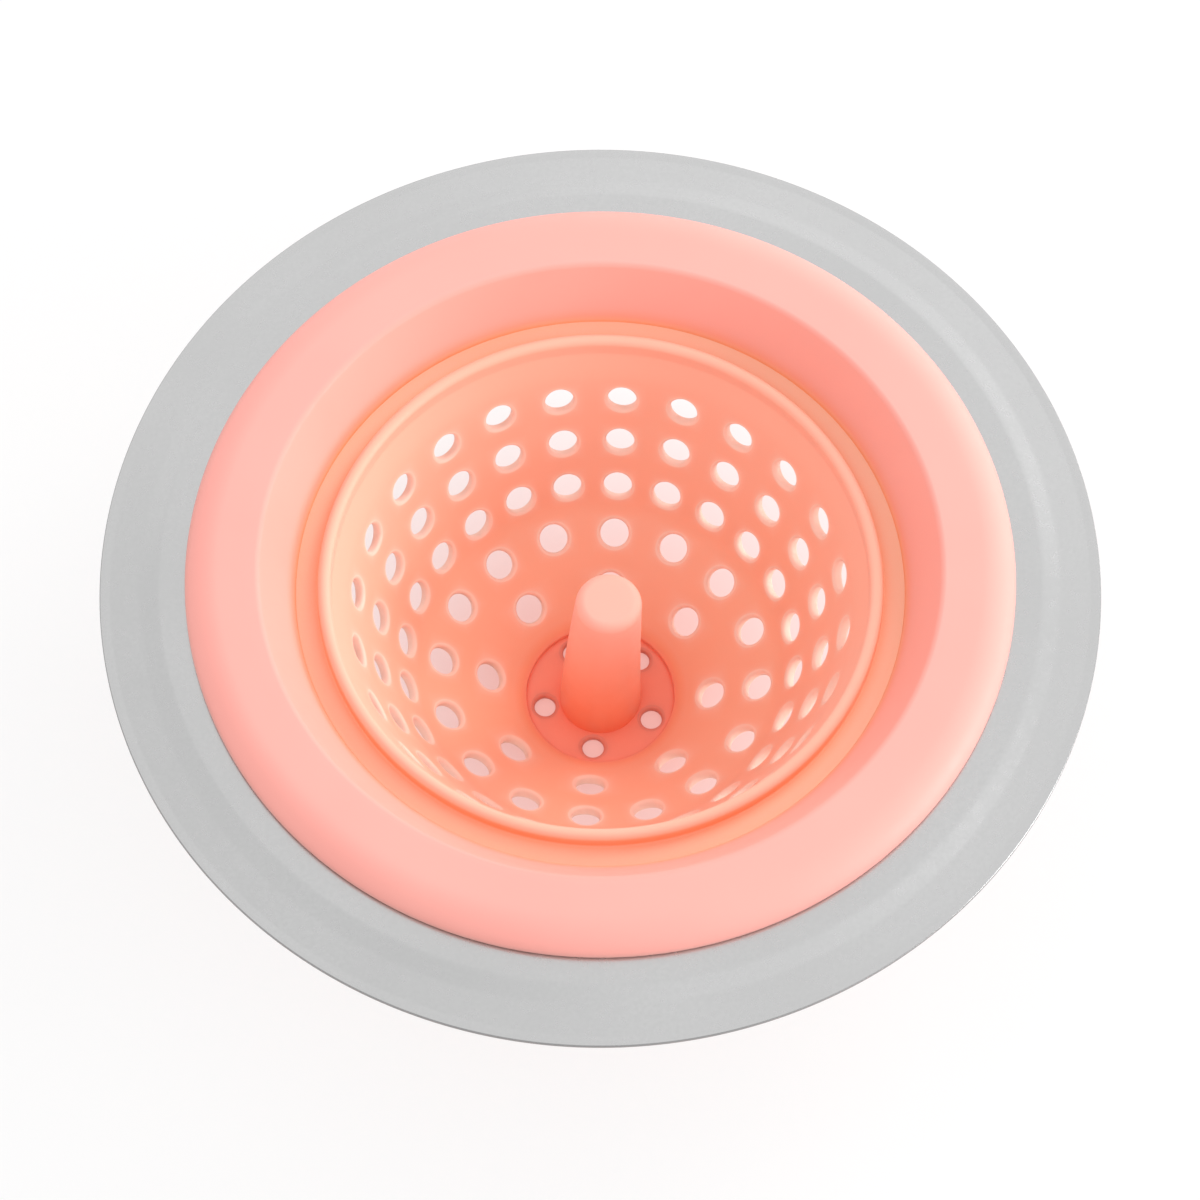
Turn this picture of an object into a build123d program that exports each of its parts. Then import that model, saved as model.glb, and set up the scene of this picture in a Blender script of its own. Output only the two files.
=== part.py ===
from build123d import *
import math
import os

# A drop-in strainer for a kitchen sink's drain: a flexible silicone basket gripped by a pressed
# steel rim. Lengths are in millimetres, +Z is up, the axis of the basket is Z, and the origin is
# the middle of the flat underside that the basket stands on.

# Pull knob: a tapered post with a rounded top, in the middle of the floor.
knob_base_radius = 4.55
knob_top_radius = 3.8
knob_height = 25.7
knob_edge_radius = 1.2

# Floor: a flat disc, recessed below the end of the wall, with drain holes round the knob.
floor_thickness = 1.0
floor_hole_radius = 1.25
floor_hole_from_knob = 0.9
floor_hole_to_recess = 0.85
floor_hole_count = 5
floor_hole_phase = math.radians(-97.4)
floor_recess_depth = 0.6

# Bowl wall: straight bands that rise from the recess more and more steeply, joined by bends.
wall_thickness = 1.2
wall_cone_tilt = math.radians(58.5)
wall_lower_tilt = math.radians(29)
wall_middle_tilt = math.radians(25.5)
wall_top_tilt = math.radians(19.5)
wall_knee_radius = 5.8
wall_bend_radius = 25.0

# Drain holes of the wall, square to it, in rings counted from the recess. A bend follows each
# of the rings from the second on, half way to the next.
wall_hole_radius = 1.7
wall_hole_counts = (8, 16, 24, 24, 24)
wall_hole_phase = math.radians(84.8)
first_ring_from_recess = 5.0
ring_pitch = 6.45
last_ring_to_bead = 8.5

# Bead and hinge ledge: the stiff lip of the bowl and the narrow shelf round it.
bead_width = 1.5
ledge_below_bead = 1.15
ledge_thickness = 1.2
ledge_width = 1.9

# Fold web: the thin cone between the bowl and the flange, which turns inside out.
web_tilt = math.radians(33.2)
web_thickness = 1.2
web_clearance = 0.3

# Basket flange: the thick top ring, which sits on the steel ledge and grips its inner edge.
mouth_lip_thickness = 1.6
mouth_edge_radius = 1.8
web_groove_width = 1.3
neck_width = 2.0
grip_clearance = 0.1
grip_depth = 4.71
grip_lip_width = 3.1
grip_lip_thickness = 1.0
flange_rise = 3.2
flange_crown_width = 4.0
flange_foot_radius = 0.35

# Steel rim: a flat ring of sheet with a level margin, a sloping band and a raised inner ledge.
rim_sheet = 0.6
rim_seat_above_bead = 0.35
rim_ledge_width = 3.19
rim_shoulder_width = 2.0
rim_shoulder_rise = 0.85
rim_bend_radius = 1.6
rim_band_width = 3.41
rim_band_slope = math.radians(6)
rim_margin_width = 1.2

# Length by which a cutting tool runs past what it cuts.
overrun = 1.0

floor_hole_circle_radius = knob_base_radius + floor_hole_from_knob + floor_hole_radius
floor_recess_radius = floor_hole_circle_radius + floor_hole_radius + floor_hole_to_recess
floor_recess_height = floor_thickness + floor_recess_depth

# Each bend of the wall as its start and end along the wall and its radius.
wall_tilts = (wall_cone_tilt, wall_lower_tilt, wall_middle_tilt, wall_top_tilt)
bend_radii = (wall_knee_radius, wall_bend_radius, wall_bend_radius)
bends = []
for index, bend_radius in enumerate(bend_radii):
    bend_middle = first_ring_from_recess + (index + 3 / 2) * ring_pitch
    half_bend = bend_radius * (wall_tilts[index] - wall_tilts[index + 1]) / 2
    bends.append((bend_middle - half_bend, bend_middle + half_bend, bend_radius))
last_ring = first_ring_from_recess + (len(wall_hole_counts) - 1) * ring_pitch
bead_distance = last_ring + last_ring_to_bead


def wall_place(distance):
    """Radius, height and tilt of the middle of the wall, a distance up it from the recess."""
    tilt = wall_cone_tilt
    radius = floor_recess_radius + wall_thickness / 2 * math.cos(tilt)
    height = floor_recess_height - wall_thickness / 2 * math.sin(tilt)
    reached = 0
    for start, end, bend_radius in bends:
        straight = max(min(distance, start) - reached, 0)
        turned_tilt = tilt - min(max(distance - start, 0), end - start) / bend_radius
        radius += straight * math.sin(tilt)
        radius += bend_radius * (math.cos(turned_tilt) - math.cos(tilt))
        height += straight * math.cos(tilt)
        height += bend_radius * (math.sin(tilt) - math.sin(turned_tilt))
        tilt = turned_tilt
        reached = end
    straight = max(distance - reached, 0)
    return radius + straight * math.sin(tilt), height + straight * math.cos(tilt), tilt


def wall_skin(distance, offset):
    """Radius and height of a point offset outwards from the middle of the wall."""
    radius, height, tilt = wall_place(distance)
    return radius + offset * math.cos(tilt), height - offset * math.sin(tilt)


bead_radius, bead_height, _ = wall_place(bead_distance)
bead_outer_radius = bead_radius + bead_width / 2
ledge_radius = bead_outer_radius + ledge_width
ledge_height = bead_height - ledge_below_bead
ledge_base = ledge_height - ledge_thickness
rim_seat_height = bead_height + rim_seat_above_bead
rim_band_rise = rim_band_width * math.tan(rim_band_slope)
rim_ledge_height = rim_seat_height + rim_sheet + rim_band_rise + rim_shoulder_rise
flange_top = rim_ledge_height + flange_rise
web_top = flange_top - mouth_lip_thickness


def web_radius(height):
    """Radius of the inner cone of the mouth and the web at a height."""
    return ledge_radius + web_clearance + (height - ledge_height) * math.tan(web_tilt)


web_width = web_thickness / math.cos(web_tilt)
flange_body_radius = web_radius(web_top) + web_width + web_groove_width
groove_radius = flange_body_radius + neck_width
rim_bore_radius = groove_radius + grip_clearance
grip_lip_radius = rim_bore_radius + grip_lip_width
flange_radius = rim_bore_radius + grip_depth
rim_shoulder_radius = flange_radius + rim_ledge_width
rim_foot_radius = rim_shoulder_radius + rim_shoulder_width
rim_margin_radius = rim_foot_radius + rim_band_width
rim_radius = rim_margin_radius + rim_margin_width


def turned(edges):
    """The solid that a closed outline of radii and heights makes about the Z axis."""
    return revolve(Plane.XZ * make_face(edges), Axis.Z)


def outline_of(points):
    """Closed straight outline through the points."""
    return Polyline(*points, close=True).edges()


def steel_rim():
    """Pressed ring: level margin, sloping band, shoulder and inner ledge, all of one sheet."""
    margin_height = rim_seat_height + rim_sheet
    top = [
        (rim_radius, margin_height),
        (rim_margin_radius, margin_height),
        (rim_foot_radius, margin_height + rim_band_rise),
        (rim_shoulder_radius, rim_ledge_height),
        (rim_bore_radius, rim_ledge_height),
    ]
    under = [(radius, height - rim_sheet) for radius, height in top]
    upper_line = FilletPolyline(*top, radius=rim_bend_radius)
    under_line = FilletPolyline(*under, radius=rim_bend_radius)
    ends = [Line(top[0], under[0]), Line(top[-1], under[-1])]
    return turned(upper_line.edges() + under_line.edges() + ends)


def basket_flange():
    """Thick ring with a crowned outer side, a groove for the steel and a lip under it."""
    widest_height = rim_ledge_height + flange_foot_radius
    crown_centre = (flange_radius - flange_crown_width, widest_height)
    crown_height = flange_top - widest_height
    foot = (flange_radius - flange_foot_radius, rim_ledge_height)
    grip_top = rim_ledge_height - rim_sheet
    grip_base = grip_top - grip_lip_thickness
    mouth_edge = (web_radius(flange_top), flange_top)
    rest = [
        foot,
        (groove_radius, rim_ledge_height),
        (groove_radius, grip_top),
        (grip_lip_radius, grip_top),
        (grip_lip_radius, grip_base),
        (flange_body_radius, grip_base),
        (flange_body_radius, web_top),
        (web_radius(web_top), web_top),
        mouth_edge,
    ]
    crown = EllipticalCenterArc(
        crown_centre, flange_crown_width, crown_height, start_angle=0, arc_size=90
    )
    edges = [
        Line(mouth_edge, (crown_centre[0], flange_top)),
        crown,
        JernArc((flange_radius, widest_height), (0, -1), flange_foot_radius, -90),
        Polyline(*rest),
    ]
    ring = turned(Curve() + edges)
    top_edges = ring.faces().sort_by(Axis.Z)[-1].edges()
    mouth = top_edges.filter_by(GeomType.CIRCLE).sort_by(SortBy.RADIUS)[0]
    return fillet(mouth, mouth_edge_radius)


def fold_web():
    """Thin cone that hangs from the lip of the flange and ends beside the hinge ledge."""
    foot_radius = web_radius(ledge_height)
    return turned(
        outline_of(
            [
                (web_radius(web_top), web_top),
                (web_radius(web_top) + web_width, web_top),
                (web_radius(ledge_base) + web_width, ledge_base),
                (foot_radius, ledge_base),
                (foot_radius, ledge_height),
            ]
        )
    )


def wall_skin_edges(offset, start):
    """One skin of the wall, from its start at the floor up to the height of the bead."""
    edges = []
    last = start
    for bend_start, bend_end, _ in bends:
        foot = wall_skin(bend_start, offset)
        middle = wall_skin((bend_start + bend_end) / 2, offset)
        edges.append(Line(last, foot))
        last = wall_skin(bend_end, offset)
        edges.append(ThreePointArc(foot, middle, last))
    return edges + [Line(last, wall_skin(bead_distance, offset))]


def wall_base_radius():
    """Radius at which the outer skin of the cone meets the top of the floor disc."""
    radius, height = wall_skin(0, wall_thickness / 2)
    return radius + (floor_thickness - height) * math.tan(wall_cone_tilt)


def bowl_blank():
    """The whole bowl before its holes: bead, hinge ledge and wall, open at the floor."""
    half = wall_thickness / 2
    inner_start = (floor_recess_radius, floor_recess_height)
    outer_start = (wall_base_radius(), floor_thickness)
    base_corner = (floor_recess_radius, floor_thickness)
    wall_edges = wall_skin_edges(-half, inner_start) + wall_skin_edges(half, outer_start)
    closing = [
        Line(inner_start, base_corner),
        Line(base_corner, outer_start),
        Line(wall_skin(bead_distance, -half), wall_skin(bead_distance, half)),
    ]
    wall = turned(Curve() + wall_edges + closing)
    bead_place = Plane.XZ * Location((bead_radius, bead_height))
    bead = revolve(bead_place * Circle(bead_width / 2), Axis.Z)
    collar = turned(
        outline_of(
            [
                (bead_radius, bead_height),
                (bead_outer_radius, bead_height),
                (bead_outer_radius, ledge_height),
                (ledge_radius, ledge_height),
                (ledge_radius, ledge_base),
                (bead_radius, ledge_base),
            ]
        )
    )
    return wall + bead + collar


def mouth_bead():
    """Stiff lip of the bowl, with the hinge ledge round its foot."""
    return split(bowl_blank(), bisect_by=Plane.XY.offset(ledge_base), keep=Keep.TOP)


def wall_drills():
    """One drill for each hole of the wall, square to the wall where it goes through."""
    reach = wall_thickness + 2 * overrun
    drills = []
    for ring, count in enumerate(wall_hole_counts):
        radius, height, tilt = wall_place(first_ring_from_recess + ring * ring_pitch)
        for index in range(count):
            turn = wall_hole_phase + 2 * math.pi * index / count
            across = Vector(math.cos(turn), math.sin(turn), 0)
            centre = across * radius + Vector(0, 0, height)
            outwards = across * math.cos(tilt) - Vector(0, 0, math.sin(tilt))
            place = Plane(origin=centre, z_dir=outwards)
            drills.append(place * Cylinder(wall_hole_radius, reach))
    return drills


def strainer_bowl():
    """Perforated wall below the bead."""
    wall = split(bowl_blank(), bisect_by=Plane.XY.offset(ledge_base), keep=Keep.BOTTOM)
    return wall - wall_drills()


def bowl_floor():
    """Disc that closes the bowl, with a ring of drain holes round the knob."""
    disc = Cylinder(wall_base_radius(), floor_thickness, align=(Align.CENTER, Align.CENTER, Align.MIN))
    drill = Cylinder(floor_hole_radius, floor_thickness + 2 * overrun)
    drills = []
    for index in range(floor_hole_count):
        turn = floor_hole_phase + 2 * math.pi * index / floor_hole_count
        x = floor_hole_circle_radius * math.cos(turn)
        y = floor_hole_circle_radius * math.sin(turn)
        drills.append(Location((x, y, floor_thickness / 2)) * drill)
    return disc - drills


def pull_knob():
    """Tapered post on the floor, rounded at the top."""
    knob_top = floor_thickness + knob_height
    post = turned(
        outline_of(
            [
                (0, floor_thickness),
                (knob_base_radius, floor_thickness),
                (knob_top_radius, knob_top),
                (0, knob_top),
            ]
        )
    )
    return fillet(post.edges().group_by(Axis.Z)[-1], knob_edge_radius)


def main():
    os.makedirs("parts", exist_ok=True)
    makers = [
        steel_rim,
        basket_flange,
        fold_web,
        mouth_bead,
        strainer_bowl,
        bowl_floor,
        pull_knob,
    ]
    for maker in makers:
        export_step(maker(), f"parts/{maker.__name__}.step")


main()
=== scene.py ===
import math

import bmesh
import bpy
import numpy as np
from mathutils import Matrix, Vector


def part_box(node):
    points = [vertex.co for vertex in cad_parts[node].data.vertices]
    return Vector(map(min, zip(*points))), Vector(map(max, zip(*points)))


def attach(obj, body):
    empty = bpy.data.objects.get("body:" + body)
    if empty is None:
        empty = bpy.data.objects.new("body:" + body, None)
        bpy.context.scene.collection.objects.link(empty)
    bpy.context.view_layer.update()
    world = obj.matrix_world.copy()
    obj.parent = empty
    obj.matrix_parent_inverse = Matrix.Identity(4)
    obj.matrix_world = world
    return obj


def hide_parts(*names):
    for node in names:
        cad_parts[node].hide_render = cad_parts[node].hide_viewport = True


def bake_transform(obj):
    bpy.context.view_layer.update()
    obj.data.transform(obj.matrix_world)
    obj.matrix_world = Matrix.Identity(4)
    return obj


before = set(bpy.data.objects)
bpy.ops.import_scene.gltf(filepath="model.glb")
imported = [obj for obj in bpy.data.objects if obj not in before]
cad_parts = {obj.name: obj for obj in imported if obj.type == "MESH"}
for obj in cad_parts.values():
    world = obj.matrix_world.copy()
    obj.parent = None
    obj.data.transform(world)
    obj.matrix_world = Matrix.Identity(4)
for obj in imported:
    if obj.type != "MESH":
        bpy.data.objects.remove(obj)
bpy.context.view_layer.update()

# Lengths of the shapes are in millimetres in the row frame; meshes are scaled to metres when they
# are made. Lengths given straight to shaders and lamps are in metres.
MM = 0.001

# Steps round the axis, a radius that counts as on it, the distance within which points are welded,
# and the angle past which an edge is sharp.
SEGMENTS = 288
KNOB_SEGMENTS = 96
FLOOR_SEGMENTS = 240
ON_AXIS = 1e-6
WELD_DISTANCE = 1e-4
SHARP_ANGLE = math.radians(38)


def cad_box(node):
    """Lowest and highest corner of a CAD node, in millimetres."""
    low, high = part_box(node)
    return np.array(low) / MM, np.array(high) / MM


# Levels and radii read from the frame.
steel_low, steel_high = cad_box("steel_rim")
flange_low, flange_high = cad_box("basket_flange")
web_low, web_high = cad_box("fold_web")
bead_high = cad_box("mouth_bead")[1]
floor_high = cad_box("bowl_floor")[1]
knob_high = cad_box("pull_knob")[1]

RIM_RADIUS = min(abs(corner) for corner in (*steel_low[:2], *steel_high[:2]))
RIM_SHEET = 0.6
RIM_MARGIN = 1.2
RIM_BAND = 3.41
RIM_BAND_SLOPE = math.radians(6)
RIM_SHOULDER = 2.0
RIM_BEND = 1.6
RIM_EDGE = 0.12
RIM_BORE = 42.49

FLANGE_RADIUS = min(abs(corner) for corner in (*flange_low[:2], *flange_high[:2]))
FLANGE_TOP = flange_high[2]
FLANGE_CROWN_WIDTH = 4.0
FLANGE_FOOT = 0.35
CROWN_STEPS = 20
FLANGE_BODY = 40.39
GRIP_LIP = 45.59
GRIP_LIP_THICKNESS = 1.0
GROOVE_CLEARANCE = 0.02

WEB_TILT = math.radians(31.3)
WEB_THICKNESS = 1.2
WEB_TOP = web_high[2]
WEB_FOOT_RADIUS = 34.75
MOUTH_EDGE = 0.9
LINER_WIDTH = 1.1
LINER_STEP = 0.35

BEAD_WIDTH = 1.5
BEAD_CROWN = 0.7
BEAD_FOOT_DROP = 1.5 * BEAD_WIDTH
BEAD_FOOT_BEND = 1.2
LEDGE_THICKNESS = 1.2
LEDGE_CREASE = 0.3
LEDGE_BASE = web_low[2]
LEDGE_HEIGHT = LEDGE_BASE + LEDGE_THICKNESS
BEAD_TOP = bead_high[2]

FLOOR_THICKNESS = floor_high[2]
FLOOR_RADIUS = floor_high[0]
FLOOR_RECESS_RADIUS = 8.8
FLOOR_RECESS_DEPTH = 0.6
FLOOR_HOLE_CIRCLE = 6.7
FLOOR_HOLE_RADIUS = 1.25
FLOOR_HOLE_COUNT = 5
FLOOR_HOLE_PHASE = math.radians(-97.4)

WALL_THICKNESS = 1.2
WALL_TILTS = [math.radians(tilt) for tilt in (58.5, 29, 25.5, 19.5)]
WALL_BENDS = (5.8, 25.0, 25.0)
HOLE_RADIUS = 1.7
HOLE_COUNTS = (8, 16, 24, 24, 24)
HOLE_PHASE = math.radians(84.8)
HOLE_EDGE = 0.38
FIRST_RING = 5.0
RING_PITCH = 6.45
LAST_RING_TO_BEAD = 8.5

KNOB_FLARE = 0.3
KNOB_BASE_RADIUS = knob_high[0] + KNOB_FLARE
KNOB_TOP_RADIUS = 3.8
KNOB_EDGE = 1.2
KNOB_TOP = knob_high[2]
KNOB_LEAN = 1.0
KNOB_LEAN_POWER = 1.4

# Roundings of the silicone's small edges, from sharp to soft.
CRISP_EDGE = 0.1
WEB_EDGE = 0.2
DISC_EDGE = 0.25
SOFT_EDGE = 0.4

# Level of the studio's light, and in reflections: all round, towards the right, the back wall and
# the low panel at the right.
STUDIO_LIGHT = 1.0
STUDIO_GLOSS = 0.84
SIDE_GLOSS = 0.13
WALL_GLOSS = 0.1
PANEL_GLOSS = 3.0

# Share of the light that passes through a skin of silicone, and the pale bloom on its surface.
TRANSLUCENCY = 0.04
PALE_BLOOM = (1.0, 0.55, 0.47)

# Width over which one zone's tone turns into the next, and how far some start before their edge.
RECESS_BLEND = 0.6
# Width of the painted shade ring round the floor recess.
RECESS_SHADE_BLEND = 1.5
LEDGE_BLEND = 0.4
MOUTH_BLEND = 0.8
SHADE_BLEND = 0.3
ZONE_LEAD = 0.3


def wall_place(distance):
    """Radius, height and tilt of the middle of the wall, a distance up it from the recess."""
    tilt = WALL_TILTS[0]
    radius = FLOOR_RECESS_RADIUS + WALL_THICKNESS / 2 * math.cos(tilt)
    height = FLOOR_THICKNESS + FLOOR_RECESS_DEPTH - WALL_THICKNESS / 2 * math.sin(tilt)
    reached = 0
    # Bends lie midway between rings of holes, the first one between the second ring and the third.
    for index, bend in enumerate(WALL_BENDS):
        turn = tilt - WALL_TILTS[index + 1]
        middle = FIRST_RING + (index + 3 / 2) * RING_PITCH
        start = middle - bend * turn / 2
        straight = max(min(distance, start) - reached, 0)
        turned_tilt = tilt - min(max(distance - start, 0), bend * turn) / bend
        radius += straight * math.sin(tilt)
        radius += bend * (math.cos(turned_tilt) - math.cos(tilt))
        height += straight * math.cos(tilt)
        height += bend * (math.sin(tilt) - math.sin(turned_tilt))
        tilt = turned_tilt
        reached = start + bend * turn
    straight = max(distance - reached, 0)
    return radius + straight * math.sin(tilt), height + straight * math.cos(tilt), tilt


def wall_skin(distance, offset):
    """Radius and height of a point offset outwards from the middle of the wall."""
    radius, height, tilt = wall_place(distance)
    return radius + offset * math.cos(tilt), height - offset * math.sin(tilt)


LAST_RING = FIRST_RING + (len(HOLE_COUNTS) - 1) * RING_PITCH
BEAD_RADIUS = wall_place(LAST_RING + LAST_RING_TO_BEAD)[0]
MOUTH_RADIUS = WEB_FOOT_RADIUS + (FLANGE_TOP - LEDGE_HEIGHT) * math.tan(WEB_TILT)


def web_radius(height):
    """Radius of the inner cone of the mouth and the web at a height."""
    return WEB_FOOT_RADIUS + (height - LEDGE_HEIGHT) * math.tan(WEB_TILT)


def rounded(corners, closed=True, steps=10, longest=0.9):
    """Outline through corners (radius, height, rounding), with arcs and extra points between."""
    points = []
    count = len(corners)
    for index, (x, z, rounding) in enumerate(corners):
        here = np.array((x, z), float)
        if rounding == 0:
            points.append(here)
            continue
        before = np.array(corners[index - 1][:2]) - here
        after = np.array(corners[(index + 1) % count][:2]) - here
        before /= np.linalg.norm(before)
        after /= np.linalg.norm(after)
        half = math.acos(np.clip(before @ after, -1, 1)) / 2
        middle = (before + after) / np.linalg.norm(before + after)
        centre = here + middle * rounding / math.sin(half)
        start = here + before * rounding / math.tan(half) - centre
        end = here + after * rounding / math.tan(half) - centre
        first = math.atan2(start[1], start[0])
        sweep = math.atan2(end[1], end[0]) - first
        sweep = (sweep + math.pi) % (2 * math.pi) - math.pi
        for step in range(steps + 1):
            angle = first + sweep * step / steps
            points.append(centre + rounding * np.array((math.cos(angle), math.sin(angle))))
    refined = []
    pairs = zip(points, points[1:] + points[:1] if closed else points[1:])
    for here, there in pairs:
        parts = max(1, math.ceil(np.linalg.norm(there - here) / longest))
        refined += [here + (there - here) * part / parts for part in range(parts)]
    return refined if closed else refined + [points[-1]]


def turned(outline, closed=True, phase=0.0, segments=SEGMENTS):
    """Vertices and faces of an outline turned about the Z axis; points on the axis are poles."""
    angles = phase + 2 * math.pi * np.arange(segments) / segments
    vertices, faces, rings = [], [], []
    for radius, height in outline:
        first = len(vertices)
        if radius < ON_AXIS:
            vertices.append((0, 0, height))
            rings.append([first] * segments)
            continue
        ring = np.column_stack(
            (radius * np.cos(angles), radius * np.sin(angles), np.full(segments, height))
        )
        vertices += [tuple(point) for point in ring]
        rings.append(list(range(first, first + segments)))
    following = rings[1:] + rings[:1] if closed else rings[1:]
    for lower, upper in zip(rings, following):
        if lower[0] == lower[1] and upper[0] == upper[1]:
            continue
        for index in range(segments):
            after = (index + 1) % segments
            face = [lower[index], lower[after], upper[after], upper[index]]
            faces.append(list(dict.fromkeys(face)))
    return vertices, faces


def drilled_cells(place, counts, centres, hole_radius, phase, thickness, pitch, side_steps, segments):
    """Vertices, faces and nearness to a hole of rings of square cells, each with a round hole; the
    nearness weights painted light or shade at the rims.
    """
    vertices, faces, rims = [], [], []
    # Shares of the way from a hole's rim out to the side of its cell.
    skin_shares = (1, 0.6, 0.25, 0.06)
    edge_steps = 3
    rim_fade = 3
    half_rim_paint = 0.5
    half = thickness / 2
    edge = [math.pi / 2 * step / edge_steps for step in range(edge_steps + 1)]
    layers = [(share, hole_radius + HOLE_EDGE, half) for share in skin_shares]
    layers += [
        (0, hole_radius + HOLE_EDGE * (1 - math.sin(turn)), half - HOLE_EDGE * (1 - math.cos(turn)))
        for turn in edge
    ]
    layers += [(share, radius, -offset) for share, radius, offset in reversed(layers)]
    # Weight of the painted light or shade at a hole's rim: full in the hole, under half on the skins,
    # gone a third of the way out.
    glow = [max(0.0, 1 - share * rim_fade) * (half_rim_paint if share else 1.0) for share, *_ in layers]
    for count, centre in zip(counts, centres):
        reach = segments // count // 2
        columns = list(range(-reach, reach))
        sides = [pitch * (step / side_steps - 1 / 2) for step in range(side_steps)]
        loop = [(column, -pitch / 2) for column in columns]
        loop += [(reach, side) for side in sides]
        loop += [(-column, pitch / 2) for column in columns]
        loop += [(-reach, -side) for side in sides]
        ring_radius, _, tilt = place(centre)
        step_angle = 2 * math.pi / segments
        block = []
        for share, radius, offset in layers:
            row = []
            for column, rise in loop:
                angle = math.atan2(rise, ring_radius * column * step_angle)
                across = radius * math.cos(angle)
                along = radius * math.sin(angle)
                turn = math.asin(across / place(centre + along)[0])
                along += ring_radius * (1 - math.cos(turn)) * math.sin(tilt)
                turn += (column * step_angle - turn) * share
                along += (rise - along) * share
                skin_radius, skin_height, skin_tilt = place(centre + along)
                skin_radius += offset * math.cos(skin_tilt)
                skin_height -= offset * math.sin(skin_tilt)
                row.append((turn, skin_radius, skin_height))
            block.append(row)
        size = len(loop)
        for cell in range(count):
            middle = phase + 2 * math.pi * cell / count
            first = len(vertices)
            for row, rim in zip(block, glow):
                rims += [rim] * size
                for turn, radius, height in row:
                    angle = middle + turn
                    vertices.append((radius * math.cos(angle), radius * math.sin(angle), height))
            for layer in range(len(layers) - 1):
                low = first + layer * size
                for index in range(size):
                    after = (index + 1) % size
                    faces.append(
                        (low + index, low + after, low + size + after, low + size + index)
                    )
    return vertices, faces, rims


def mesh_piece(name, parts):
    """Smooth shaded object made of lists of vertices and faces, welded where they meet."""
    vertices, faces, rims = [], [], []
    for part_vertices, part_faces, *part_rims in parts:
        first = len(vertices)
        vertices += part_vertices
        faces += [[first + index for index in face] for face in part_faces]
        rims += part_rims[0] if part_rims else [0.0] * len(part_vertices)
    mesh = bpy.data.meshes.new(name)
    mesh.from_pydata(vertices, [], faces)
    # The weight of painted light or shade at hole rims is kept as a point attribute.
    mesh.attributes.new("hole_rim", "FLOAT", "POINT").data.foreach_set("value", rims)
    work = bmesh.new()
    work.from_mesh(mesh)
    bmesh.ops.remove_doubles(work, verts=work.verts, dist=WELD_DISTANCE)
    bmesh.ops.recalc_face_normals(work, faces=work.faces)
    bmesh.ops.scale(work, verts=work.verts, vec=(MM, MM, MM))
    open_edges = sum(not edge.is_manifold for edge in work.edges)
    if open_edges:
        raise ValueError(f"{name} has {open_edges} open edges")
    work.to_mesh(mesh)
    work.free()
    mesh.polygons.foreach_set("use_smooth", [True] * len(mesh.polygons))
    mesh.set_sharp_from_angle(angle=SHARP_ANGLE)
    piece = bpy.data.objects.new(name, mesh)
    bpy.context.collection.objects.link(piece)
    return piece


def steel_sheet():
    """Pressed steel ring with a level margin, a sloping band, a soft shoulder and an inner ledge."""
    margin_height = steel_low[2] + RIM_SHEET
    margin_radius = RIM_RADIUS - RIM_MARGIN
    foot_radius = margin_radius - RIM_BAND
    foot_height = margin_height + RIM_BAND * math.tan(RIM_BAND_SLOPE)
    ledge_height = steel_high[2]
    top = [
        (RIM_RADIUS, margin_height, RIM_EDGE),
        (margin_radius, margin_height, RIM_BEND),
        (foot_radius, foot_height, RIM_BEND),
        (foot_radius - RIM_SHOULDER, ledge_height, RIM_BEND),
        (RIM_BORE, ledge_height, RIM_EDGE),
    ]
    under = [(radius, height - RIM_SHEET, rounding) for radius, height, rounding in reversed(top)]
    return mesh_piece("steel_sheet", [turned(rounded(top + under))])


def flange_ring():
    """Thick outer ring of the basket, outside the seam with the fold liner."""
    ledge_height = steel_high[2]
    seam = web_radius(FLANGE_TOP) + LINER_WIDTH
    groove = RIM_BORE - GROOVE_CLEARANCE
    grip_top = ledge_height - RIM_SHEET
    widest = ledge_height + FLANGE_FOOT
    crown = []
    for step in range(CROWN_STEPS + 1):
        turn = math.pi / 2 * (1 - step / CROWN_STEPS)
        radius = FLANGE_RADIUS - FLANGE_CROWN_WIDTH * (1 - math.cos(turn))
        crown.append((radius, widest + (FLANGE_TOP - widest) * math.sin(turn), 0))
    corners = [
        (seam, FLANGE_TOP, 0),
        *crown,
        (FLANGE_RADIUS, ledge_height, FLANGE_FOOT),
        (groove, ledge_height, 0),
        (groove, grip_top, 0),
        (GRIP_LIP, grip_top, CRISP_EDGE),
        (GRIP_LIP, grip_top - GRIP_LIP_THICKNESS, SOFT_EDGE),
        (FLANGE_BODY, grip_top - GRIP_LIP_THICKNESS, SOFT_EDGE),
        (FLANGE_BODY, WEB_TOP, SOFT_EDGE),
        (seam, WEB_TOP, 0),
    ]
    return mesh_piece("flange_ring", [turned(rounded(corners))])


def fold_liner():
    """Rounded mouth edge and the thin web cone, down to the hinge ledge."""
    width = WEB_THICKNESS / math.cos(WEB_TILT)
    mouth = web_radius(FLANGE_TOP)
    corners = [
        (mouth + LINER_WIDTH, FLANGE_TOP, 0),
        (mouth, FLANGE_TOP, MOUTH_EDGE),
        (WEB_FOOT_RADIUS, LEDGE_HEIGHT, 0),
        (WEB_FOOT_RADIUS, LEDGE_BASE, 0),
        (web_radius(LEDGE_BASE) + width, LEDGE_BASE, WEB_EDGE),
        (web_radius(WEB_TOP) + width, WEB_TOP, 0),
        (mouth + LINER_WIDTH, WEB_TOP, 0),
    ]
    return mesh_piece("fold_liner", [turned(rounded(corners, longest=LINER_STEP))])


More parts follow.
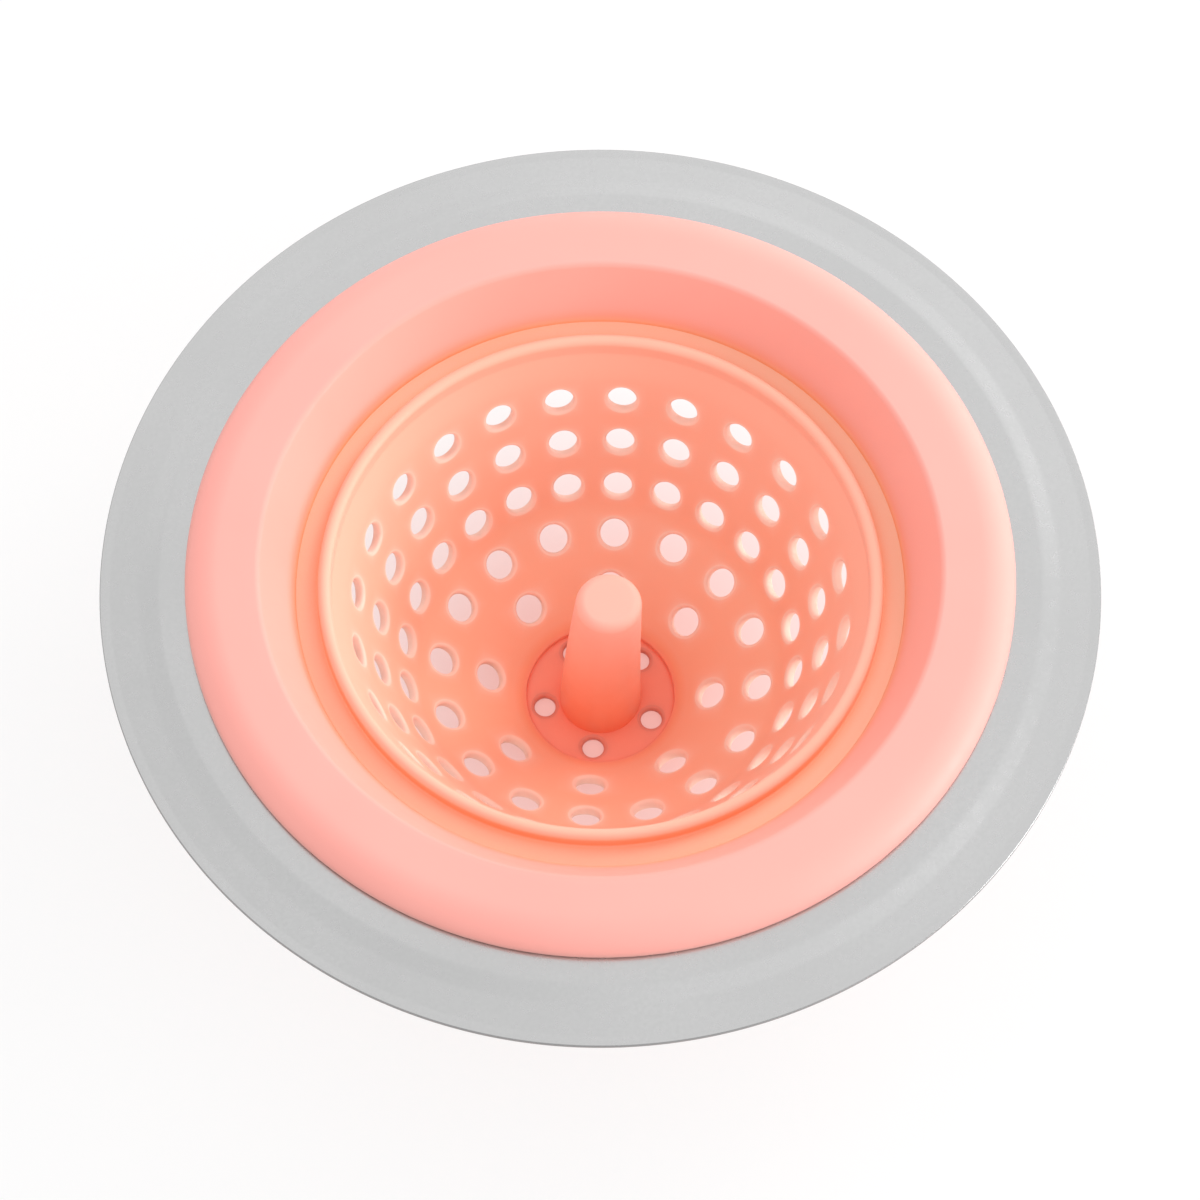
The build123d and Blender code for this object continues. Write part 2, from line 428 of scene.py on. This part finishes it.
def bowl_shell():
    """Bead, hinge ledge and perforated wall of the bowl in one skin."""
    half = WALL_THICKNESS / 2
    top_row = LAST_RING + RING_PITCH / 2
    bottom_row = FIRST_RING - RING_PITCH / 2
    inner = BEAD_RADIUS - BEAD_WIDTH / 2
    outer = BEAD_RADIUS + BEAD_WIDTH / 2
    bead_foot = BEAD_TOP - BEAD_FOOT_DROP
    outer_foot = wall_skin(LAST_RING + LAST_RING_TO_BEAD, half)
    slope = math.tan(WALL_TILTS[-1])
    under_radius = outer_foot[0] - (outer_foot[1] - LEDGE_BASE) * slope
    top = [
        (*wall_skin(top_row, -half), 0),
        (inner, bead_foot, BEAD_FOOT_BEND),
        (inner, BEAD_TOP, BEAD_CROWN),
        (outer, BEAD_TOP, BEAD_CROWN),
        (outer, LEDGE_HEIGHT, LEDGE_CREASE),
        (WEB_FOOT_RADIUS, LEDGE_HEIGHT, 0),
        (WEB_FOOT_RADIUS, LEDGE_BASE, 0),
        (under_radius, LEDGE_BASE, SOFT_EDGE),
        (*wall_skin(top_row, half), 0),
    ]
    base_radius, base_height = wall_skin(0, half)
    base_radius += (FLOOR_THICKNESS - base_height) * math.tan(WALL_TILTS[0])
    bottom = [
        (*wall_skin(bottom_row, half), 0),
        (base_radius, FLOOR_THICKNESS, CRISP_EDGE),
        (FLOOR_RECESS_RADIUS, FLOOR_THICKNESS, 0),
        (FLOOR_RECESS_RADIUS, FLOOR_THICKNESS + FLOOR_RECESS_DEPTH, DISC_EDGE),
        (*wall_skin(bottom_row, -half), 0),
    ]
    centres = [FIRST_RING + ring * RING_PITCH for ring in range(len(HOLE_COUNTS))]
    cells = drilled_cells(
        wall_place,
        HOLE_COUNTS,
        centres,
        HOLE_RADIUS,
        HOLE_PHASE,
        WALL_THICKNESS,
        RING_PITCH,
        side_steps=10,
        segments=SEGMENTS,
    )
    outlines = [rounded(corners, closed=False, steps=7) for corners in (top, bottom)]
    rims = [turned(outline, False, HOLE_PHASE) for outline in outlines]
    return mesh_piece("bowl_shell", [cells, *rims])


def floor_disc():
    """Recessed disc with a ring of drain holes round the knob."""
    half = FLOOR_THICKNESS / 2
    pitch = 2 * (FLOOR_RECESS_RADIUS - FLOOR_HOLE_CIRCLE)

    def level(distance):
        return distance, half, math.radians(90)

    cells = drilled_cells(
        level,
        (FLOOR_HOLE_COUNT,),
        (FLOOR_HOLE_CIRCLE,),
        FLOOR_HOLE_RADIUS,
        FLOOR_HOLE_PHASE,
        FLOOR_THICKNESS,
        pitch,
        side_steps=12,
        segments=FLOOR_SEGMENTS,
    )
    inner = FLOOR_HOLE_CIRCLE - pitch / 2
    outer = FLOOR_HOLE_CIRCLE + pitch / 2
    rim = [
        (outer, FLOOR_THICKNESS, 0),
        (FLOOR_RADIUS, FLOOR_THICKNESS, 0),
        (FLOOR_RADIUS, 0, DISC_EDGE),
        (outer, 0, 0),
    ]
    middles = [[(inner, height), (0, height)] for height in (0, FLOOR_THICKNESS)]
    outlines = [rounded(rim, closed=False), *middles]
    rings = [turned(outline, False, FLOOR_HOLE_PHASE, FLOOR_SEGMENTS) for outline in outlines]
    return mesh_piece("floor_disc", [cells, *rings])


def leaning_knob():
    """Tapered post with a rounded top, leaning a little to the right."""
    corners = [
        (0, FLOOR_THICKNESS, 0),
        (KNOB_BASE_RADIUS, FLOOR_THICKNESS, 0),
        (KNOB_TOP_RADIUS, KNOB_TOP, KNOB_EDGE),
        (0, KNOB_TOP, 0),
    ]
    knob = mesh_piece("leaning_knob", [turned(rounded(corners), segments=KNOB_SEGMENTS)])
    height = (KNOB_TOP - FLOOR_THICKNESS) * MM
    for vertex in knob.data.vertices:
        share = max(vertex.co.z - FLOOR_THICKNESS * MM, 0) / height
        vertex.co.x += KNOB_LEAN * MM * share**KNOB_LEAN_POWER
    return knob


class Nodes:
    """Short ways to add and join shader nodes of one material."""

    def __init__(self, name):
        self.material = bpy.data.materials.new(name)
        self.material.use_nodes = True
        self.tree = self.material.node_tree
        self.shader = self.tree.nodes["Principled BSDF"]
        self.place = self.add("ShaderNodeTexCoord").outputs["Object"]

    def add(self, kind, **values):
        node = self.tree.nodes.new(kind)
        for key, value in values.items():
            if key in node.inputs:
                node.inputs[key].default_value = value
            else:
                setattr(node, key, value)
        return node

    def join(self, source, target):
        self.tree.links.new(source, target)

    def height(self):
        split = self.add("ShaderNodeSeparateXYZ")
        self.join(self.place, split.inputs[0])
        return split.outputs["Z"]

    def radius(self):
        """Distance from the Z axis of the row frame."""
        level = self.add("ShaderNodeVectorMath", operation="MULTIPLY")
        level.inputs[1].default_value = (1, 1, 0)
        self.join(self.place, level.inputs[0])
        length = self.add("ShaderNodeVectorMath", operation="LENGTH")
        self.join(level.outputs[0], length.inputs[0])
        return length.outputs["Value"]

    def noise(self, scale, detail=2.0):
        """Noise over the row frame, in features per metre."""
        noise = self.add("ShaderNodeTexNoise", Scale=scale, Detail=detail)
        self.join(self.place, noise.inputs["Vector"])
        return noise.outputs["Fac"]

    def span(self, factor, low, high, start=0.3, end=0.7):
        """The factor between start and end, spread from low to high."""
        span = self.add("ShaderNodeMapRange")
        span.inputs["From Min"].default_value = start
        span.inputs["From Max"].default_value = end
        span.inputs["To Min"].default_value = low
        span.inputs["To Max"].default_value = high
        self.join(factor, span.inputs["Value"])
        return span.outputs["Result"]

    def mix(self, factor, first, second):
        """Colour between two colours or sockets."""
        mix = self.add("ShaderNodeMix", data_type="RGBA")
        self.join(factor, mix.inputs[0])
        for socket, colour in zip((mix.inputs[6], mix.inputs[7]), (first, second)):
            if isinstance(colour, tuple):
                socket.default_value = (*colour, 1)
            else:
                self.join(colour, socket)
        return mix.outputs[2]

    def bump(self, height, strength, distance):
        bump = self.add("ShaderNodeBump", Strength=strength, Distance=distance)
        self.join(height, bump.inputs["Height"])
        self.join(bump.outputs["Normal"], self.shader.inputs["Normal"])


def silicone(name, tones, shade_from):
    """Soft matt silicone with a tone for each zone, lighter or darker as painted light and shade, and
    painted shade in hollows past a radius.
    """
    hollow_reach = 0.004
    hollow_most = 0.9
    bloom_most = 0.12
    nodes = Nodes(name)
    shader = nodes.shader
    radius = nodes.radius()
    bead = BEAD_RADIUS + BEAD_WIDTH / 2

    def past(edge, width):
        return nodes.span(radius, 0.0, 1.0, edge * MM, (edge + width) * MM)

    # Painted shade: the wall and what stands in the middle turn darker towards the floor.
    shade_by_height = nodes.span(nodes.height(), 1.0, 0.0, FLOOR_THICKNESS * MM, BEAD_TOP * MM)
    tone = nodes.mix(shade_by_height, tones["wall"], tones["deep"])
    middle = nodes.mix(shade_by_height, tones["peak"], tones["recess"])
    # Painted shade: a darker ring round the edge of the floor recess.
    tone = nodes.mix(past(FLOOR_RECESS_RADIUS, RECESS_SHADE_BLEND), tones["recess_edge_shade"], tone)
    tone = nodes.mix(past(FLOOR_RECESS_RADIUS, RECESS_BLEND), middle, tone)
    # Painted light makes the ledge paler, and painted shade makes the web darker than the flange.
    tone = nodes.mix(past(bead - ZONE_LEAD, LEDGE_BLEND), tone, tones["ledge"])
    tone = nodes.mix(past(WEB_FOOT_RADIUS, LEDGE_BLEND), tone, tones["web"])
    tone = nodes.mix(past(MOUTH_RADIUS - ZONE_LEAD, MOUTH_BLEND), tone, tones["flange"])
    # Painted shade where ambient occlusion finds a hollow: deep orange inside the mouth, greyish pink
    # at the flange's foot outside it.
    hollow = nodes.mix(past(MOUTH_RADIUS, LINER_WIDTH), tones["hollow"], tones["foot"])
    cover = nodes.add("ShaderNodeAmbientOcclusion", samples=8, Distance=hollow_reach)
    shade = nodes.add("ShaderNodeMath", operation="MULTIPLY")
    painted_shade_share = nodes.span(cover.outputs["AO"], hollow_most, 0.0, start=0.35, end=0.8)
    nodes.join(painted_shade_share, shade.inputs[0])
    nodes.join(past(shade_from - ZONE_LEAD, SHADE_BLEND), shade.inputs[1])
    tone = nodes.mix(shade.outputs[0], tone, hollow)
    # Painted light at the rims of the wall's holes, painted shade at those of the floor disc's holes.
    rim = nodes.add("ShaderNodeAttribute", attribute_name="hole_rim")
    tone = nodes.mix(rim.outputs["Fac"], tone, tones["rim"])
    cloud = nodes.span(nodes.noise(scale=60.0, detail=3.0), 0.0, bloom_most)
    nodes.join(nodes.mix(cloud, tone, PALE_BLOOM), shader.inputs["Base Color"])
    rough = nodes.span(nodes.noise(scale=420.0, detail=5.0), low=0.42, high=0.56)
    nodes.join(rough, shader.inputs["Roughness"])
    shader.inputs["IOR"].default_value = 1.41
    shader.inputs["Sheen Weight"].default_value = 0.12
    shader.inputs["Sheen Roughness"].default_value = 0.5
    nodes.bump(nodes.noise(scale=2600.0, detail=3.0), strength=0.12, distance=0.00005)
    through = nodes.add("ShaderNodeBsdfTranslucent", Color=(*tones["deep"], 1))
    blend = nodes.add("ShaderNodeMixShader", Fac=TRANSLUCENCY)
    nodes.join(shader.outputs[0], blend.inputs[1])
    nodes.join(through.outputs[0], blend.inputs[2])
    nodes.join(blend.outputs[0], nodes.tree.nodes["Material Output"].inputs["Surface"])
    return nodes.material


def brushed_steel():
    """Satin stainless sheet with a fine turned grain, rubbing marks and a painted dark shade on its
    outer edge.
    """
    dull = (0.6, 0.6, 0.6)
    bright = (0.68, 0.68, 0.68)
    # Painted shade: a dark line over the rounded outer edge.
    edge_shade_tone = (0.3, 0.3, 0.3)
    speckle_most = 0.5
    edge_shade_start = RIM_RADIUS - 0.12
    edge_shade_end = RIM_RADIUS - 0.02
    nodes = Nodes("brushed_steel")
    shader = nodes.shader
    grain = nodes.add("ShaderNodeTexNoise", noise_dimensions="1D", Scale=9000.0, Detail=4.0)
    nodes.join(nodes.radius(), grain.inputs["W"])
    cloud = nodes.mix(nodes.noise(scale=45.0, detail=3.0), dull, bright)
    speckle = nodes.span(nodes.noise(scale=2200.0, detail=2.0), 0.0, speckle_most)
    tone = nodes.mix(speckle, cloud, dull)
    edge_shade = nodes.span(nodes.radius(), 0.0, 1.0, edge_shade_start * MM, edge_shade_end * MM)
    nodes.join(nodes.mix(edge_shade, tone, edge_shade_tone), shader.inputs["Base Color"])
    rough = nodes.span(nodes.noise(scale=700.0, detail=4.0), low=0.22, high=0.29)
    nodes.join(rough, shader.inputs["Roughness"])
    shader.inputs["Metallic"].default_value = 1.0
    nodes.bump(grain.outputs["Fac"], strength=0.15, distance=0.00002)
    return nodes.material


def dress(piece, material):
    piece.data.materials.append(material)


steel = brushed_steel()

# Tones of the silicone by zone, lighter or darker as painted light and shade: peak and recess are the
# top and foot of what stands in the middle, wall and deep the top and foot of the wall, the middle
# and the wall's foot darker as painted shade; the ring round the floor disc is painted shade; ledge
# is painted light and web painted shade against the flange; rim is painted light at the edge of a
# hole;
# hollow is painted shade in hollows inside the mouth, and foot painted shade outside it.
basket_tones = {
    "peak": (1.0, 0.34, 0.22),
    "recess": (1.0, 0.34, 0.22),
    "wall": (1.0, 0.47, 0.34),
    "deep": (1.0, 0.43, 0.27),
    "recess_edge_shade": (1.0, 0.33, 0.17),
    "ledge": (1.0, 0.53, 0.38),
    "web": (1.0, 0.38, 0.31),
    "flange": (1.0, 0.405, 0.35),
    "rim": (1.0, 0.64, 0.52),
    "hollow": (1.0, 0.3, 0.08),
    "foot": (0.68, 0.36, 0.32),
}
# The floor disc is a darker copy as painted shade, and its hole rims are darkened as painted shade.
floor_tones = {
    **basket_tones,
    "peak": (1.0, 0.31, 0.21),
    "recess": (1.0, 0.31, 0.21),
    "rim": (0.8, 0.25, 0.18),
    "hollow": (1.0, 0.2, 0.1),
}
# The knob is paler at its top and darker at its foot, as painted shade.
knob_tones = {
    **floor_tones,
    "peak": (1.0, 0.5, 0.42),
    "recess": (1.0, 0.27, 0.12),
    "hollow": (1.0, 0.2, 0.08),
}
silicone_basket = silicone("silicone_basket", basket_tones, BEAD_RADIUS)
silicone_floor = silicone("silicone_floor", floor_tones, 0)
silicone_knob = silicone("silicone_knob", knob_tones, 0)

sheet = steel_sheet()
dress(sheet, steel)
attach(sheet, "rim")
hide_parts("steel_rim")

ring = flange_ring()
dress(ring, silicone_basket)
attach(ring, "rim")
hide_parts("basket_flange")

liner = fold_liner()
dress(liner, silicone_basket)
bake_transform(liner)
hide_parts("fold_web")

shell = bowl_shell()
dress(shell, silicone_basket)
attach(shell, "bowl")
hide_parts("mouth_bead", "strainer_bowl")

disc = floor_disc()
dress(disc, silicone_floor)
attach(disc, "bowl")
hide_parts("bowl_floor")

knob = leaning_knob()
dress(knob, silicone_knob)
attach(knob, "bowl")
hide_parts("pull_knob")


def studio_floor():
    """Pale floor that reads white in the picture, keeps its shade and has a painted pink glow under
    the bowl.
    """
    white = (1.0, 1.0, 1.0)
    # Painted light: a pink glow on the floor under the bowl, for light passing through the silicone.
    painted_glow_tint = (1.0, 0.46, 0.41)
    glow_shares = (0.7, 0.8)
    glow_radii = (0.01, 0.05)
    painted_glow_radii = (0.008, 0.042)
    bpy.ops.mesh.primitive_plane_add(size=6)
    floor = bpy.context.object
    floor.name = "studio_floor"
    nodes = Nodes("studio_floor")
    nodes.shader.inputs["Base Color"].default_value = (0.85, 0.84, 0.84, 1)
    nodes.shader.inputs["Roughness"].default_value = 0.9
    glow = nodes.add("ShaderNodeEmission")
    share = nodes.add("ShaderNodeMath", operation="MULTIPLY")
    mix = nodes.add("ShaderNodeMixShader")
    path = nodes.add("ShaderNodeLightPath")
    nodes.join(path.outputs["Is Camera Ray"], share.inputs[0])
    nodes.join(nodes.span(nodes.radius(), *glow_shares, *glow_radii), share.inputs[1])
    painted_glow_share = nodes.span(nodes.radius(), 0.0, 1.0, *painted_glow_radii)
    nodes.join(nodes.mix(painted_glow_share, painted_glow_tint, white), glow.inputs["Color"])
    nodes.join(share.outputs[0], mix.inputs[0])
    nodes.join(nodes.shader.outputs[0], mix.inputs[1])
    nodes.join(glow.outputs[0], mix.inputs[2])
    output = nodes.tree.nodes["Material Output"]
    nodes.join(mix.outputs[0], output.inputs["Surface"])
    floor.data.materials.append(nodes.material)


def studio_world():
    """White studio; reflections grow brighter to the right, at the back and low on the right."""
    # Where each ramp starts and ends, as parts of the direction's unit vector.
    right_span = (0.45, 0.8)
    low_span = (0.3, 0.08)
    side_span = (-0.35, 0.35)
    back_span = (0.42, 0.55)
    world = bpy.data.worlds.new("studio_world")
    bpy.context.scene.world = world
    world.use_nodes = True
    tree = world.node_tree

    def math_node(operation, first, second):
        node = tree.nodes.new("ShaderNodeMath")
        node.operation = operation
        for socket, value in zip(node.inputs, (first, second)):
            if isinstance(value, float):
                socket.default_value = value
            else:
                tree.links.new(value, socket)
        return node.outputs[0]

    def ramp(value, start, end):
        node = tree.nodes.new("ShaderNodeMapRange")
        node.interpolation_type = "SMOOTHSTEP"
        node.inputs["From Min"].default_value = start
        node.inputs["From Max"].default_value = end
        tree.links.new(value, node.inputs["Value"])
        return node.outputs["Result"]

    place = tree.nodes.new("ShaderNodeTexCoord")
    split = tree.nodes.new("ShaderNodeSeparateXYZ")
    tree.links.new(place.outputs["Generated"], split.inputs[0])
    right = ramp(split.outputs["X"], *right_span)
    low = ramp(split.outputs["Z"], *low_span)
    panel = math_node("MULTIPLY", math_node("MULTIPLY", right, low), PANEL_GLOSS)
    side = math_node("MULTIPLY", ramp(split.outputs["X"], *side_span), SIDE_GLOSS)
    wall = math_node("MULTIPLY", ramp(split.outputs["Y"], *back_span), WALL_GLOSS)
    gloss = math_node("ADD", math_node("ADD", panel, math_node("ADD", side, wall)), STUDIO_GLOSS)
    path = tree.nodes.new("ShaderNodeLightPath")
    glossy = path.outputs["Is Glossy Ray"]
    plain = math_node("MULTIPLY", math_node("SUBTRACT", 1.0, glossy), STUDIO_LIGHT)
    level = math_node("ADD", math_node("MULTIPLY", glossy, gloss), plain)
    tree.links.new(level, tree.nodes["Background"].inputs["Strength"])
    tree.nodes["Background"].inputs["Color"].default_value = (1, 1, 1, 1)


def softbox(name, place, size, power, glossy):
    """Round area lamp at a place, aimed at the middle of the mouth, seen in gloss or not."""
    data = bpy.data.lights.new(name, "AREA")
    data.shape = "DISK"
    data.size = size
    data.energy = power
    lamp = bpy.data.objects.new(name, data)
    lamp.location = place
    aim = Vector((0, 0, FLANGE_TOP * MM)) - Vector(place)
    lamp.rotation_euler = aim.to_track_quat("-Z", "Y").to_euler()
    lamp.visible_glossy = glossy
    bpy.context.collection.objects.link(lamp)


def photo_camera():
    """Camera at the photograph's viewing angle, distance and framing."""
    focal_pixels = 5270.0
    image_pixels = 1200.0
    distance = 599.08
    elevation = math.radians(63.66)
    target = Vector((-0.041, -2.548, 32.0))
    data = bpy.data.cameras.new("photo_camera")
    data.sensor_width = 36.0
    data.lens = focal_pixels / image_pixels * data.sensor_width
    data.clip_start = 0.01
    data.clip_end = 20.0
    camera = bpy.data.objects.new("photo_camera", data)
    back = Vector((0, -math.cos(elevation), math.sin(elevation)))
    camera.location = (target + back * distance) * MM
    camera.rotation_euler = (-back).to_track_quat("-Z", "Y").to_euler()
    bpy.context.collection.objects.link(camera)
    bpy.context.scene.camera = camera


studio_floor()
studio_world()
softbox("key", place=(0.55, 0.5, 0.42), size=0.5, power=3.5, glossy=False)
softbox("fill", place=(0.85, -0.2, 0.28), size=0.4, power=3.5, glossy=True)
photo_camera()
bpy.context.scene.view_settings.view_transform = "Standard"
